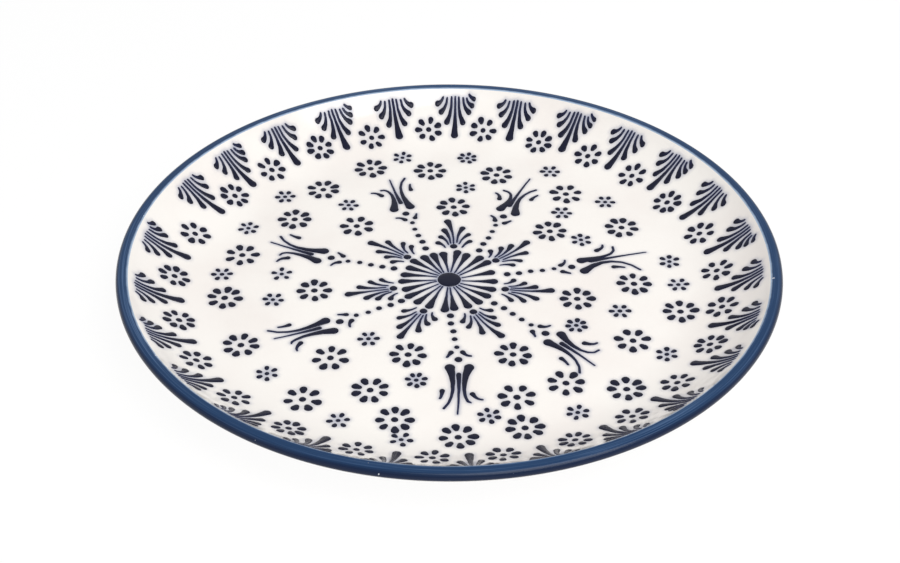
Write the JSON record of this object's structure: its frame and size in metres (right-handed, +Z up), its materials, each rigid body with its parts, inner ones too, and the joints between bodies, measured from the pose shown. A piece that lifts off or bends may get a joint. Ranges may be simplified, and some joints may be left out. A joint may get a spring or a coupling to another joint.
{
  "type": "hand painted ceramic plate",
  "caption": "Round shallow ceramic plate on a foot ring, white glazed, with a blue lip and raised dark blue slip strokes of daisies, tulips and fans.",
  "frame": {"origin": "middle of the table plane under the foot ring, on the plate's axis", "axes": "+Z up along the plate's axis, +X and +Y across the plate, the picture's lower edge towards -Y"},
  "size_m": [0.25, 0.25, 0.025],
  "materials": {
    "bare_clay": "matte, bare fired clay, seen only on the foot ring's base",
    "white_glaze": "gloss warm white glaze",
    "blue_glaze": "gloss cobalt blue, brushed round the lip with lighter streaks",
    "slip": "gloss dark navy raised slip, bluer where it is thin"
  },
  "bodies": {
    "root": {"plate_body": "bare_clay", "white_glaze_face": "white_glaze", "white_glaze_back": "white_glaze", "white_glaze_base": "white_glaze", "blue_rim_band": "blue_glaze", "rosette_dot": "slip", "rosette_petals": "slip", "spray_1": "slip", "spray_2": "slip", "spray_3": "slip", "spray_4": "slip", "spray_5": "slip", "spray_6": "slip", "spray_7": "slip", "bead_chain_1": "slip", "bead_chain_2": "slip", "bead_chain_3": "slip", "bead_chain_4": "slip", "bead_chain_5": "slip", "bead_chain_6": "slip", "bead_chain_7": "slip", "tulip_1": "slip", "tulip_2": "slip", "tulip_3": "slip", "tulip_4": "slip", "tulip_5": "slip", "tulip_6": "slip", "tulip_7": "slip", "large_daisies_1": "slip", "large_daisies_2": "slip", "large_daisies_3": "slip", "large_daisies_4": "slip", "large_daisies_5": "slip", "large_daisies_6": "slip", "large_daisies_7": "slip", "small_daisies_1": "slip", "small_daisies_2": "slip", "small_daisies_3": "slip", "small_daisies_4": "slip", "small_daisies_5": "slip", "small_daisies_6": "slip", "small_daisies_7": "slip", "rim_daisies_1": "slip", "rim_daisies_2": "slip", "rim_daisies_3": "slip", "rim_daisies_4": "slip", "rim_daisies_5": "slip", "rim_daisies_6": "slip", "rim_daisies_7": "slip", "rim_palmettes_1": "slip", "rim_palmettes_2": "slip", "rim_palmettes_3": "slip", "rim_palmettes_4": "slip", "rim_palmettes_5": "slip", "rim_palmettes_6": "slip", "rim_palmettes_7": "slip"}
  },
  "joints": []
}
